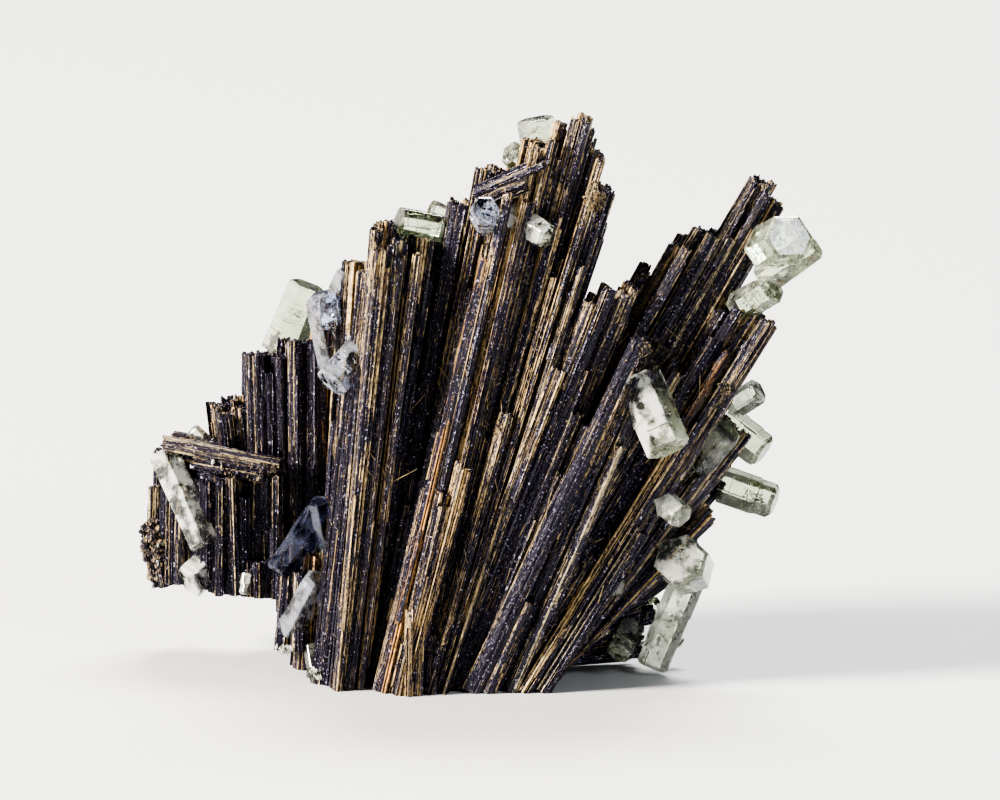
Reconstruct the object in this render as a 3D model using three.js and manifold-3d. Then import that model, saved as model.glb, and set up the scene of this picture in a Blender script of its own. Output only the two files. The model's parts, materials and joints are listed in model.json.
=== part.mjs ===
// A schorl specimen: a radiating spray of black tourmaline crystals, with clear beryl crystals grown on it.
//
// Millimetres, +Z up, front towards -Y. The origin is on the surface that the specimen stands on, below the
// middle of the specimen's box.
//
// Places are read off a front elevation that looks down by ELEVATION: "across" runs to the right, "up" runs up
// the elevation, and "depth" is the real distance behind the front edge of the foot.

import * as THREE from "three";
import { mergeVertices } from "three/addons/utils/BufferGeometryUtils.js";
import Module from "manifold-3d";

const wasm = await Module();
wasm.setup();

// ---- Driving dimensions ----

const ELEVATION = THREE.MathUtils.degToRad(10);
const ORIGIN = { across: -0.19, depth: 12.7 };
const SOCKET_GAP = 0.3; // clear space between a beryl and the schorl round it
const GROWN_TOGETHER = 1.5; // width of a schorl crystal against its pitch in the sheaf
const BROAD_CORNER = 0.52; // distance of every other corner of a schorl crystal from its axis, per width
const NARROW_CORNER = 0.45; // the same for the corners between them
const CORNER_SHIFT = 0.3; // most that a corner is turned towards the next one, as a share of a side
const HEIGHT_JITTER = 0.5; // most that a crystal's end differs from its sheaf's crown
const END_SLOPE = 0.35; // steepest slope of a broken crystal end
const CORE_INSET = 0.2; // how far the solid between a sheaf's crystals stays inside its outline, as a share
const CORE_FOOT = 0.02; // share of the sheaf's length where that solid starts
const CORE_HEIGHT = 0.8; // share of the length of the lowest crystals where it ends
const GROUND = { width: 160, thickness: 30 }; // the slab that cuts the spray's foot flat

// A crystal's traits are drawn from its seed by number. Corners use the traits from 0 to 5.
const TRAIT = { slopeX: 7, slopeY: 8, height: 9 };
const SEEDS_PER_SHEAF = 100;
const SEEDS_PER_ROW = 20;

// ---- Sheaves of schorl ----
// A sheaf is a block of crystals side by side. foot and head are its left and right edges, as [across, up];
// the depths are [front, back]. crown holds the height where each front crystal ends, and step is how much
// higher each row behind it ends. Feet below the ground are cut off flat by it.

const SHEAVES = {
  leftPillar: {
    foot: [[-14.4, -1], [-11.6, -1]], head: [[-10.2, 46], [-5, 46]],
    depthAtFoot: [2, 13], depthAtHead: [1, 15], rows: 2, crown: [45.8, 45, 44.8], step: -0.7,
  },
  leftFlank: {
    foot: [[-16.2, -1], [-14, -1]], head: [[-11.4, 41], [-9.6, 41]],
    depthAtFoot: [4, 14], depthAtHead: [3, 12], rows: 2, crown: [41.4], step: -5.5,
  },
  darkRecess: {
    foot: [[-12.6, -1], [-9, -1]], head: [[-5.4, 46], [1.7, 46]],
    depthAtFoot: [4, 14], depthAtHead: [5.5, 17], rows: 2, crown: [44.4, 48.8, 51.6], step: 0,
  },
  brightRidge: {
    foot: [[-10.4, -1], [-8, -1]], head: [[1.6, 50], [3.6, 50]],
    depthAtFoot: [0.6, 5], depthAtHead: [1.6, 6], rows: 1, crown: [45.6, 50.4], step: 0,
  },
  middleStub: {
    foot: [[-8.8, -1], [-6.9, -1]], head: [[-3.6, 20], [-0.7, 22.5]],
    depthAtFoot: [0.2, 4], depthAtHead: [0, 4], rows: 1, crown: [19.6, 22.6], step: 0,
  },
  lowStub: {
    foot: [[-7.6, -1], [-4.4, -1]], head: [[-7.2, 9], [-4, 9]],
    depthAtFoot: [-0.4, 3], depthAtHead: [0.2, 3.4], rows: 1, crown: [8.6, 9.3, 6.2], step: 0,
  },
  secondRecess: {
    foot: [[-8.2, -1], [-5.8, -1]], head: [[3, 46], [7.2, 46]],
    depthAtFoot: [3.6, 14], depthAtHead: [5.4, 17], rows: 2, crown: [47.8, 51.6], step: 0.6,
  },
  peak: {
    foot: [[-7.6, -1], [-3.4, -1]], head: [[5.4, 56.5], [15.8, 56.5]],
    depthAtFoot: [1.2, 13], depthAtHead: [3, 13], rows: 2, crown: [54.6, 56.2, 56.2, 53.4, 50], step: -1.6,
  },
  rightShoulder: {
    foot: [[-5, -1], [-1, -1]], head: [[10.6, 40.5], [16, 40.5]],
    depthAtFoot: [1.4, 8], depthAtHead: [0, 7], rows: 2, crown: [39.2, 40.3, 39.8], step: 0,
  },
  frontBundle: {
    foot: [[-2, -1], [3, -1]], head: [[15, 35.5], [18.4, 34.6]],
    depthAtFoot: [0.8, 6], depthAtHead: [-2.5, 3], rows: 1, crown: [35.6, 35, 32.6], step: 0,
  },
  upperRightArm: {
    foot: [[-8, -1], [1.5, -1]], head: [[20.4, 50], [31, 50]],
    depthAtFoot: [5, 13], depthAtHead: [5, 14], rows: 2, crown: [41.2, 44.6, 45.2, 50.2, 48.6], step: 0.4,
  },
  rightFlank: {
    foot: [[-1, -1], [6.2, -0.5]], head: [[22, 37.5], [29.6, 37]],
    depthAtFoot: [1.5, 11], depthAtHead: [3, 12], rows: 2, crown: [36, 38, 37.8, 36.6], step: 0,
  },
  lowRightEdge: {
    foot: [[5.8, 0.5], [8.6, 4.4]], head: [[25.4, 28.5], [22.4, 14.5]],
    depthAtFoot: [3, 11], depthAtHead: [6, 15], rows: 2, crown: [26.6, 22.4, 18.4, 15], step: 0,
  },
  lowRightRoot: {
    foot: [[4, 9], [6, 3]], head: [[20.5, 15], [16, 4]],
    depthAtFoot: [8, 14], depthAtHead: [11, 16], rows: 1, crown: [12.8, 9.2, 5.7], step: 0,
  },
  leftBack: {
    foot: [[-22.5, 10.5], [-13, 5]], head: [[-23.4, 35], [-12, 36]],
    depthAtFoot: [16, 25], depthAtHead: [19, 29], rows: 2, crown: [34.2, 35.2, 36.2], step: 0,
  },
  farLeftStep: {
    foot: [[-25, 14], [-22, 12]], head: [[-27, 29.3], [-23.5, 29.3]],
    depthAtFoot: [18, 25], depthAtHead: [20, 27], rows: 1, crown: [29.3, 28.6], step: 0,
  },
  backLeft: {
    foot: [[-16, -1], [-10, -1]], head: [[-12.8, 43], [-7, 45]],
    depthAtFoot: [11, 21], depthAtHead: [13, 26], rows: 2, crown: [42.8, 44.6], step: 0,
  },
  backCentre: {
    foot: [[-10, -1], [-2, -1]], head: [[-4, 44], [13, 44]],
    depthAtFoot: [11, 21], depthAtHead: [14, 26], rows: 2, crown: [43, 46, 39.5], step: -2,
  },
  backRight: {
    foot: [[-3, -1], [4, -1]], head: [[15, 42], [27, 40]],
    depthAtFoot: [9, 18], depthAtHead: [11, 22], rows: 2, crown: [39, 41, 37], step: -3,
  },
  leftBlock: {
    foot: [[-26.4, 9.8], [-18.8, 9.4]], head: [[-26.4, 21.6], [-18.8, 22.8]],
    depthAtFoot: [15.5, 23], depthAtHead: [15.5, 24], rows: 2, crown: [21.2, 21.5, 22.6], step: 0.5,
  },
  leftBlockWest: {
    foot: [[-32.6, 11.2], [-26.4, 10.6]], head: [[-32.4, 23.5], [-26.4, 21.8]],
    depthAtFoot: [19.5, 26], depthAtHead: [19.5, 27], rows: 1, crown: [23.4, 22], step: 0,
  },
  leftBlockLid: {
    foot: [[-21.6, 20.6], [-18.4, 22.8]], head: [[-32.6, 22.6], [-29.8, 25]],
    depthAtFoot: [16.6, 23], depthAtHead: [19.4, 25], rows: 1, crown: [22.4, 24.4], step: 0,
  },
  farLeftKnob: {
    foot: [[-32.8, 10.8], [-30.4, 10.6]], head: [[-34.2, 17.6], [-32, 17.6]],
    depthAtFoot: [20, 24], depthAtHead: [20, 24], rows: 1, crown: [16.6], step: 0,
  },
  lowerLeft: {
    foot: [[-19.2, 5.2], [-14.6, -0.5]], head: [[-19.2, 15], [-13, 17]],
    depthAtFoot: [8, 17], depthAtHead: [9, 18], rows: 2, crown: [12.5, 14, 16.5], step: 2,
  },
  crossCrystal: {
    foot: [[-0.6, 50.3], [0.6, 48.6]], head: [[5.6, 53], [6.8, 50.8]],
    depthAtFoot: [4, 7.5], depthAtHead: [2.4, 5.4], rows: 1, crown: [52.8, 50.9], step: 0,
  },
};

// ---- Beryl crystals ----
// Each is a six-sided prism from its root in the schorl to its free tip, both as [across, up, depth].
// radius is the distance from the axis to an edge, roll turns the prism about its axis in degrees, and bevel
// is the width of the narrow pyramid faces round the tip. Crystals that share a name have grown through each
// other.

const BERYLS = [
  { name: "summit", root: [6.8, 50.5, 9.5], tip: [5.7, 57.1, 9.5], radius: 2.1, roll: 8, bevel: 0.2 },
  { name: "summit", root: [5.6, 51.6, 9], tip: [3.2, 53.7, 6.5], radius: 1.5, roll: 20, bevel: 0.3 },
  { name: "end_on", root: [0.9, 46.9, 4], tip: [0.7, 47.8, -0.3], radius: 1.75, roll: 0, bevel: 0.25 },
  { name: "bright", root: [3.5, 47.5, 4.4], tip: [7, 45.2, 1.2], radius: 1.6, roll: 12, bevel: 0.3 },
  { name: "shoulder", root: [-3.6, 46, 9], tip: [-8, 46.8, 7.5], radius: 1.8, roll: 5, bevel: 0.25 },
  { name: "shoulder_back", root: [-2, 47, 12], tip: [-4.8, 48.4, 13], radius: 1.1, roll: 15, bevel: 0.15 },
  { name: "left_tall", root: [-14.4, 38, 18], tip: [-12.9, 42.2, 17], radius: 1.6, roll: 10, bevel: 0.3 },
  { name: "left_tall", root: [-14.2, 32.8, 17.6], tip: [-15.6, 39.8, 16.6], radius: 2, roll: 14, bevel: 0.5 },
  { name: "left_large", root: [-20, 34, 26.5], tip: [-17.2, 40.8, 26], radius: 2.3, roll: 0, bevel: 0.2 },
  { name: "left_front", root: [-11, 34.8, 6], tip: [-14.6, 30.8, 3.2], radius: 2.1, roll: 10, bevel: 0.3 },
  { name: "left_blade", root: [-31.8, 24, 20.4], tip: [-27.4, 14.5, 17.4], radius: 1.9, roll: 30, bevel: 0.3 },
  { name: "left_low", root: [-26.2, 13.4, 20.6], tip: [-29.2, 10.8, 18], radius: 2.1, roll: 8, bevel: 0.2 },
  { name: "left_grey", root: [-30.6, 11.6, 21.4], tip: [-30.2, 16.6, 20], radius: 1.2, roll: 8, bevel: 0.2 },
  { name: "left_top", root: [-26.8, 24.2, 21.5], tip: [-29, 26.2, 21.4], radius: 1, roll: 0, bevel: 0.2 },
  { name: "left_drop", root: [-23.2, 11.6, 16.2], tip: [-23.5, 9.6, 15.4], radius: 0.9, roll: 0, bevel: 0.2 },
  { name: "shadow_low", root: [-18.6, 6.2, 9.4], tip: [-15.8, 11.4, 6.4], radius: 1.8, roll: 10, bevel: 0.4 },
  { name: "shadow", root: [-14.8, 13.8, 10.6], tip: [-15.9, 19.4, 9.8], radius: 1.5, roll: 25, bevel: 0.4 },
  { name: "shadow", root: [-15.8, 17.8, 11.2], tip: [-20, 11.8, 9.2], radius: 1.7, roll: 0, bevel: 0.3 },
  { name: "base_left", root: [-16.6, 4.6, 8.4], tip: [-16.2, 2.2, 7], radius: 1, roll: 0, bevel: 0.15 },
  { name: "upper_right", root: [28.8, 44.2, 6.5], tip: [30.7, 45.2, 1.5], radius: 2.75, roll: 6, bevel: 0.3 },
  { name: "upper_right", root: [28.2, 41, 4.6], tip: [33.2, 44.6, 3.4], radius: 1.75, roll: 18, bevel: 0.2 },
  { name: "upper_right", root: [25.8, 38.4, 6], tip: [29.2, 40.2, 2.8], radius: 1.7, roll: 10, bevel: 0.2 },
  { name: "front", root: [15.9, 31.2, 1], tip: [18.8, 24.3, -2.6], radius: 2.5, roll: 14, bevel: 0.15 },
  { name: "right_small", root: [25.4, 28.6, 9], tip: [28, 30.2, 7.6], radius: 1.5, roll: 10, bevel: 0.35 },
  { name: "right_middle", root: [24.6, 27, 12], tip: [28.6, 24, 10.4], radius: 2.1, roll: 12, bevel: 0.35 },
  { name: "right_prism", root: [24.5, 20.8, 12.4], tip: [29.7, 19, 11], radius: 2.1, roll: 4, bevel: 0.4 },
  { name: "right_inner", root: [20.2, 21.2, 7], tip: [24.6, 26.2, 2.8], radius: 1.9, roll: 14, bevel: 0.2 },
  { name: "low_inner", root: [16.8, 20.4, 4.6], tip: [20.2, 17.6, 0.8], radius: 1.5, roll: 20, bevel: 0.2 },
  { name: "low_speck", root: [14.6, 16.2, 5.6], tip: [15.2, 16.2, 2.2], radius: 0.9, roll: 0, bevel: 0.2 },
  { name: "foot", root: [20.9, 12.2, 10], tip: [20.1, 13.5, 2.4], radius: 2.9, roll: 16, bevel: 0.35 },
  { name: "foot", root: [21, 11.2, 10.4], tip: [17.3, 2.4, 9.4], radius: 1.8, roll: 6, bevel: 0.3 },
  { name: "low_wedge", root: [12.8, 11.6, 6.6], tip: [13.6, 10.8, 2.6], radius: 1.4, roll: 10, bevel: 0.2 },
  { name: "foot_side", root: [15.4, 6.6, 9.8], tip: [14, 3.7, 7], radius: 1.5, roll: 12, bevel: 0.3 },
  { name: "foot_back", root: [17.2, 8.9, 13.2], tip: [20.2, 4.5, 13.8], radius: 1, roll: 0, bevel: 0.2 },
];

// ---- Geometry helpers ----

// A point of the front elevation, at a real depth, in the specimen's own frame.
function placed(across, up, depth) {
  const height = (up - depth * Math.sin(ELEVATION)) / Math.cos(ELEVATION);
  return new THREE.Vector3(across - ORIGIN.across, depth - ORIGIN.depth, height);
}

// A repeatable number from 0 to 1 for a crystal's seed and the trait that it decides.
function chance(seed, trait) {
  const value = Math.sin(seed * 12.9898 + trait * 78.233) * 43758.5453;
  return value - Math.floor(value);
}

function mix(a, b, share) {
  return a + (b - a) * share;
}

// A geometry built along +Z from the origin, turned to run from one point towards another, with its own X as
// near to a given direction as it can be.
function alongAxis(geometry, from, to, direction) {
  const axis = to.clone().sub(from).normalize();
  const backward = new THREE.Vector3().crossVectors(axis, direction).normalize();
  const sideways = new THREE.Vector3().crossVectors(backward, axis);
  return geometry.applyMatrix4(new THREE.Matrix4().makeBasis(sideways, backward, axis).setPosition(from));
}

function solidOf(geometry) {
  const bare = geometry.index ? geometry.toNonIndexed() : geometry.clone();
  bare.deleteAttribute("normal");
  bare.deleteAttribute("uv");
  const merged = mergeVertices(bare, 1e-4);
  return new wasm.Manifold(
    new wasm.Mesh({
      numProp: 3,
      vertProperties: merged.attributes.position.array,
      triVerts: new Uint32Array(merged.index.array),
    }),
  );
}

function geometryOf(solid) {
  const mesh = solid.getMesh();
  const geometry = new THREE.BufferGeometry();
  geometry.setAttribute("position", new THREE.BufferAttribute(mesh.vertProperties, 3));
  geometry.setIndex(new THREE.BufferAttribute(mesh.triVerts, 1));
  geometry.computeVertexNormals();
  return geometry;
}

// ---- Schorl ----

// A tourmaline prism with three broad and three narrow faces, wider at its far end, broken off at a slope.
// footSize and endSize are its width, along a row of its sheaf, and its thickness at each end.
function schorlPrism(from, to, rowDirection, footSize, endSize, seed) {
  const outline = new THREE.Shape();
  for (let corner = 0; corner < 6; corner++) {
    const turn = ((corner + 0.5 + CORNER_SHIFT * chance(seed, corner)) * Math.PI) / 3;
    const bulge = corner % 2 === 0 ? BROAD_CORNER : NARROW_CORNER;
    if (corner === 0) {
      outline.moveTo(Math.cos(turn) * bulge, Math.sin(turn) * bulge);
    } else {
      outline.lineTo(Math.cos(turn) * bulge, Math.sin(turn) * bulge);
    }
  }
  const prism = new THREE.ExtrudeGeometry(outline, { depth: 1, bevelEnabled: false });
  const length = from.distanceTo(to);
  const slopeX = END_SLOPE * (2 * chance(seed, TRAIT.slopeX) - 1);
  const slopeY = END_SLOPE * (2 * chance(seed, TRAIT.slopeY) - 1);
  const corners = prism.getAttribute("position");
  for (let i = 0; i < corners.count; i++) {
    const atEnd = corners.getZ(i) > 0.5;
    const size = atEnd ? endSize : footSize;
    const x = corners.getX(i) * size[0];
    const y = corners.getY(i) * size[1];
    corners.setXYZ(i, x, y, atEnd ? length + slopeX * x + slopeY * y : 0);
  }
  return alongAxis(prism, from, to, rowDirection);
}

// The point of a sheaf at a share of its width, thickness and length.
function pointInSheaf(sheaf, acrossShare, depthShare, lengthShare) {
  const foot = [0, 1].map((k) => mix(sheaf.foot[0][k], sheaf.foot[1][k], acrossShare));
  const head = [0, 1].map((k) => mix(sheaf.head[0][k], sheaf.head[1][k], acrossShare));
  const footPoint = placed(foot[0], foot[1], mix(...sheaf.depthAtFoot, depthShare));
  const headPoint = placed(head[0], head[1], mix(...sheaf.depthAtHead, depthShare));
  return footPoint.lerp(headPoint, lengthShare);
}

// The share of the sheaf's length at which a crystal ends, from the height of its end in the elevation.
function endShare(sheaf, acrossShare, up) {
  const footUp = mix(sheaf.foot[0][1], sheaf.foot[1][1], acrossShare);
  const headUp = mix(sheaf.head[0][1], sheaf.head[1][1], acrossShare);
  return (up - footUp) / (headUp - footUp);
}

// The room that one crystal has in its sheaf at a share of its length: [width, thickness].
function roomInSheaf(sheaf, acrossShare, depthShare, lengthShare) {
  const left = pointInSheaf(sheaf, 0, depthShare, lengthShare);
  const right = pointInSheaf(sheaf, 1, depthShare, lengthShare);
  const front = pointInSheaf(sheaf, acrossShare, 0, lengthShare);
  const back = pointInSheaf(sheaf, acrossShare, 1, lengthShare);
  return [left.distanceTo(right) / sheaf.crown.length, front.distanceTo(back) / sheaf.rows];
}

function crystalsOf(sheaf, sheafNumber) {
  const columns = sheaf.crown.length;
  const solids = [];
  for (let row = 0; row < sheaf.rows; row++) {
    for (let column = 0; column < columns; column++) {
      const seed = sheafNumber * SEEDS_PER_SHEAF + row * SEEDS_PER_ROW + column;
      const acrossShare = (column + 0.5) / columns;
      const depthShare = (row + 0.5) / sheaf.rows;
      const from = pointInSheaf(sheaf, acrossShare, depthShare, 0);
      const head = pointInSheaf(sheaf, acrossShare, depthShare, 1);
      const jitter = (HEIGHT_JITTER * (2 * chance(seed, TRAIT.height) - 1)) / from.distanceTo(head);
      const end = endShare(sheaf, acrossShare, sheaf.crown[column] + sheaf.step * row) + jitter;
      const to = pointInSheaf(sheaf, acrossShare, depthShare, end);
      const rowStart = pointInSheaf(sheaf, 0, depthShare, end);
      const rowDirection = pointInSheaf(sheaf, 1, depthShare, end).sub(rowStart);
      const footSize = roomInSheaf(sheaf, acrossShare, depthShare, 0).map((room) => room * GROWN_TOGETHER);
      const endSize = roomInSheaf(sheaf, acrossShare, depthShare, end).map((room) => room * GROWN_TOGETHER);
      solids.push(solidOf(schorlPrism(from, to, rowDirection, footSize, endSize, seed)));
    }
  }
  return solids;
}

// The crystals of a sheaf have no gaps between them lower down, so a tapered block fills it there.
function coreOf(sheaf) {
  const block = new THREE.BoxGeometry(1, 1, 1);
  const corners = block.getAttribute("position");
  const backCrown = sheaf.crown.map((up) => up + sheaf.step * (sheaf.rows - 1));
  const lowestCrown = Math.min(...sheaf.crown, ...backCrown);
  for (let i = 0; i < corners.count; i++) {
    const acrossShare = corners.getX(i) > 0 ? 1 - CORE_INSET : CORE_INSET;
    const depthShare = corners.getY(i) > 0 ? 1 - CORE_INSET : CORE_INSET;
    const top = Math.min(1, endShare(sheaf, acrossShare, lowestCrown)) * CORE_HEIGHT;
    const corner = pointInSheaf(sheaf, acrossShare, depthShare, corners.getZ(i) > 0 ? top : CORE_FOOT);
    corners.setXYZ(i, corner.x, corner.y, corner.z);
  }
  return solidOf(block);
}

function sprayBeforeSockets() {
  const sheaves = Object.values(SHEAVES);
  const grown = sheaves.flatMap((sheaf, number) => [coreOf(sheaf), ...crystalsOf(sheaf, number)]);
  const ground = new THREE.BoxGeometry(GROUND.width, GROUND.width, GROUND.thickness);
  ground.translate(0, 0, -GROUND.thickness / 2);
  return grown.reduce((whole, piece) => whole.add(piece)).subtract(solidOf(ground));
}

// ---- Beryl ----

const ALONG_X = 0.8; // a prism whose axis has more than this share of X rolls from the specimen's Y instead

// A six-sided prism with narrow bevels round its tip, grown by a margin on every side.
function berylPrism(crystal, margin) {
  const root = placed(...crystal.root);
  const tip = placed(...crystal.tip);
  const length = root.distanceTo(tip) + 2 * margin;
  const radius = crystal.radius + margin / Math.cos(Math.PI / 6);
  const profile = [
    new THREE.Vector2(0, 0),
    new THREE.Vector2(radius, 0),
    new THREE.Vector2(radius, length - crystal.bevel),
    new THREE.Vector2(radius - crystal.bevel, length),
    new THREE.Vector2(0, length),
  ];
  const prism = new THREE.LatheGeometry(profile, 6, THREE.MathUtils.degToRad(crystal.roll));
  prism.rotateX(Math.PI / 2);
  const axis = tip.clone().sub(root).normalize();
  const start = root.clone().addScaledVector(axis, -margin);
  const nearlyAlongX = Math.abs(axis.x) > ALONG_X;
  const direction = nearlyAlongX ? new THREE.Vector3(0, 1, 0) : new THREE.Vector3(1, 0, 0);
  return solidOf(alongAxis(prism, start, tip, direction));
}

// ---- Assembly ----

const SCHORL_LOOK = { color: 0x1b1820, roughness: 0.35, metalness: 0 };
const BERYL_LOOK = { color: 0xdce6dc, roughness: 0.08, metalness: 0, transparent: true, opacity: 0.35 };

const specimen = new THREE.Group();

function addPiece(name, solid, look) {
  const piece = new THREE.Mesh(geometryOf(solid), new THREE.MeshStandardMaterial(look));
  piece.name = name;
  specimen.add(piece);
}

// Crumbs that the sockets cut loose fall away, so only the largest body of the spray stays.
const sockets = BERYLS.map((crystal) => berylPrism(crystal, SOCKET_GAP));
const spray = sockets.reduce((whole, socket) => whole.subtract(socket), sprayBeforeSockets());
const bodies = spray.decompose().sort((a, b) => b.volume() - a.volume());
addPiece("schorl_spray", bodies[0], SCHORL_LOOK);

for (const name of new Set(BERYLS.map((crystal) => crystal.name))) {
  const prisms = BERYLS.filter((crystal) => crystal.name === name).map((crystal) => berylPrism(crystal, 0));
  addPiece(`beryl_${name}`, prisms.reduce((whole, prism) => whole.add(prism)), BERYL_LOOK);
}

export default specimen;
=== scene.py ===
# A schorl specimen: a fan of black tourmaline crystals with clear beryl grown on it. Metres, front towards -Y.

import json
import math
import bmesh
import bpy
import numpy as np
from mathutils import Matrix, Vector
from mathutils.bvhtree import BVHTree

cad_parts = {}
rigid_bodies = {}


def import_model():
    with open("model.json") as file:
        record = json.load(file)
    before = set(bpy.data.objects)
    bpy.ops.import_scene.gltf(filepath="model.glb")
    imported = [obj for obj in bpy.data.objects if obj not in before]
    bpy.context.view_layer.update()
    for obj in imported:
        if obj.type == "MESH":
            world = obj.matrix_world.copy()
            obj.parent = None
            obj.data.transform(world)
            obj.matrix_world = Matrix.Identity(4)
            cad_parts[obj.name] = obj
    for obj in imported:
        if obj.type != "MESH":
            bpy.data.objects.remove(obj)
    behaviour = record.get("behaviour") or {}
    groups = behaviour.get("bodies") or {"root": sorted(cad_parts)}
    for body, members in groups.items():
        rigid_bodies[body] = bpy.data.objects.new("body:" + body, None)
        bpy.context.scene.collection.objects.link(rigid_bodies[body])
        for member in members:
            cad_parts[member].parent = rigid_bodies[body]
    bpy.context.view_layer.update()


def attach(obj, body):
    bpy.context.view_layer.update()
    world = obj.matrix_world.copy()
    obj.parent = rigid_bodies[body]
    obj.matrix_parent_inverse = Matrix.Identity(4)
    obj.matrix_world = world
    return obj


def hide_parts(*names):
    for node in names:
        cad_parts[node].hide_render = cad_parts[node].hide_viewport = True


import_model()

for leftover in list(bpy.data.lights) + list(bpy.data.cameras):
    bpy.data.batch_remove([leftover])


# ---- Schorl spray ----
# A fan of black tourmaline that grew side by side from a fissure wall, so its crystals are welded along their
# whole length and end in stepped, snapped-off tops. Each rod of a sheaf is a bundle of finer, grooved crystals.

MM = 0.001
LOOK_DOWN = math.radians(10)  # how far the front elevation looks down on the specimen
MIDDLE = (-0.19, 12.7)  # across and depth of the frame's origin, in mm
GROWN_TOGETHER = 1.5  # how much wider a rod is than its share of the sheaf, so neighbours are welded
CRYSTAL = 1.0  # width of one crystal of a rod's bundle
STRIP = 0.25  # width of one ridge on a crystal's face
COARSE_BACK = 2.3  # how much wider both are on the back, where the spray grew against the wall
LONGEST = 16  # longest stretch of a ridge without a ring of points, in mm
FLOOR_GAP = 0.02  # how far the foot stays above the ground
# Golden amount at each point of a ridge's outline: a painted highlight on its crest, painted shade in its
# grooves.
RIDGE_LIGHT_SHADE = np.array([-0.45, 0.4, 0.15, -0.55, -0.5, -0.5])  # painted light and shade of a ridge
LAID_ON = 1.5  # how far the crystal that lies across the peak stands proud of its seat, in mm
SPLINTERS = 0.05  # thin proud needles on each square mm of a crystal's face
dice = np.random.default_rng(7)

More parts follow.
